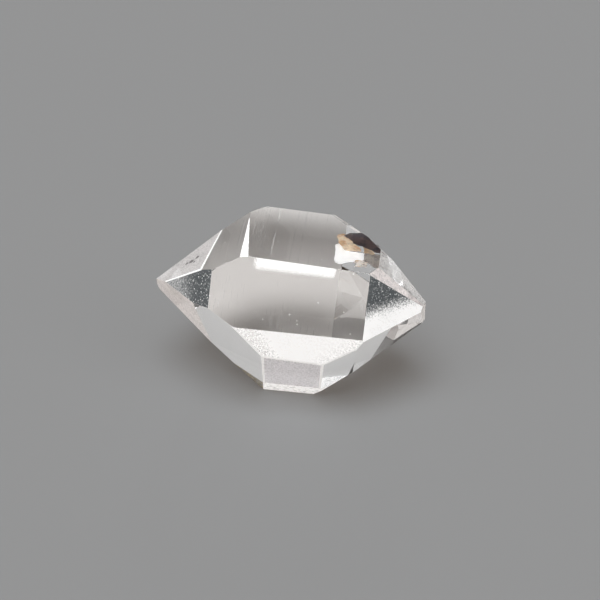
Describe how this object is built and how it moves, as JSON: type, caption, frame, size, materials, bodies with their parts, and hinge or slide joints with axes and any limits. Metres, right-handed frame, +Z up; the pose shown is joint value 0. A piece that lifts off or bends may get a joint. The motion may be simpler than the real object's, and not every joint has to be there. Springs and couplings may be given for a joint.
{
  "type": "herkimer diamond",
  "caption": "Clear doubly terminated quartz crystal, a short six-sided prism with a point at each end, lying on a small flat of its underside.",
  "frame": {"origin": "under the middle of the crystal's bounding box, at the level of the flat that it rests on", "axes": "+X along the crystal's long axis seen from above, towards its right end, which dips about 4 degrees; +Z up; the broad front prism face looks towards -Y and up"},
  "size_m": [0.016, 0.0102, 0.01],
  "materials": {
    "clear_quartz": "clear, colourless natural crystal faces with a bright glassy lustre",
    "dark_inclusion": "near-black carbon and iron-stained film sealed in the crystal near its upper right corner",
    "golden_inclusion": "golden-brown clay and iron stain round the dark inclusion",
    "white_veil": "white silvery healed fractures inside the crystal"
  },
  "bodies": {
    "root": {"quartz_crystal": "clear_quartz"}
  },
  "joints": []
}
